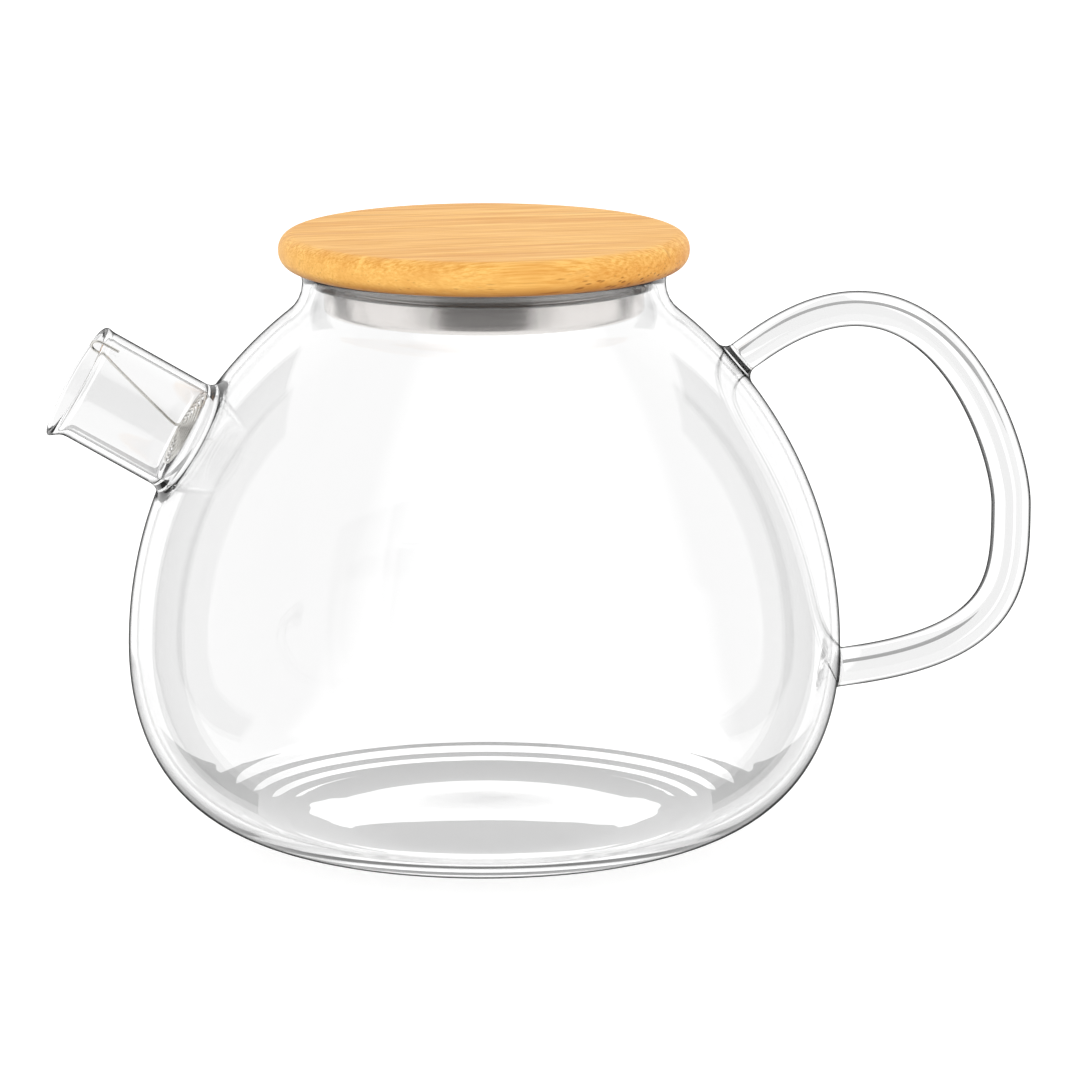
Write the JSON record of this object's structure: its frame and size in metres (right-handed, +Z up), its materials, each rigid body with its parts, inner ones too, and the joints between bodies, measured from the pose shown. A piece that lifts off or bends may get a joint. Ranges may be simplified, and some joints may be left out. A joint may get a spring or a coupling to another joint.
{
  "type": "glass teapot",
  "caption": "Round borosilicate glass teapot with a tube spout, a looped rod handle, a flat bamboo lid on a steel cup with a silicone seal, and a wire filter hooked in the spout.",
  "frame": {"origin": "middle of the flat base that the pot stands on", "axes": "+Z up along the pot's axis; the spout points to -X and the handle to +X"},
  "size_m": [0.2083, 0.15, 0.129],
  "materials": {
    "clear_glass": "fire-polished clear borosilicate",
    "bamboo": "sanded and oiled laminated bamboo",
    "brushed_steel": "circular brushed stainless steel",
    "adhesive": "cured food-safe adhesive",
    "silicone": "translucent white silicone",
    "steel_wire": "drawn stainless wire"
  },
  "bodies": {
    "pot": {"glass_body": "clear_glass", "glass_spout": "clear_glass", "glass_handle": "clear_glass"},
    "lid": {"bamboo_lid": "bamboo", "lid_cup": "brushed_steel", "lid_adhesive": "adhesive", "lid_seal": "silicone"},
    "filter": {"spout_filter": "steel_wire"}
  },
  "joints": [
    {"name": "lid_lift", "type": "slide", "parent": "pot", "child": "lid", "axis": [0, 0, 1], "range_m": [0, 0.04]},
    {"name": "filter_pull", "type": "slide", "parent": "pot", "child": "filter", "axis": [-0.8607, 0, 0.509], "range_m": [0, 0.03]}
  ]
}
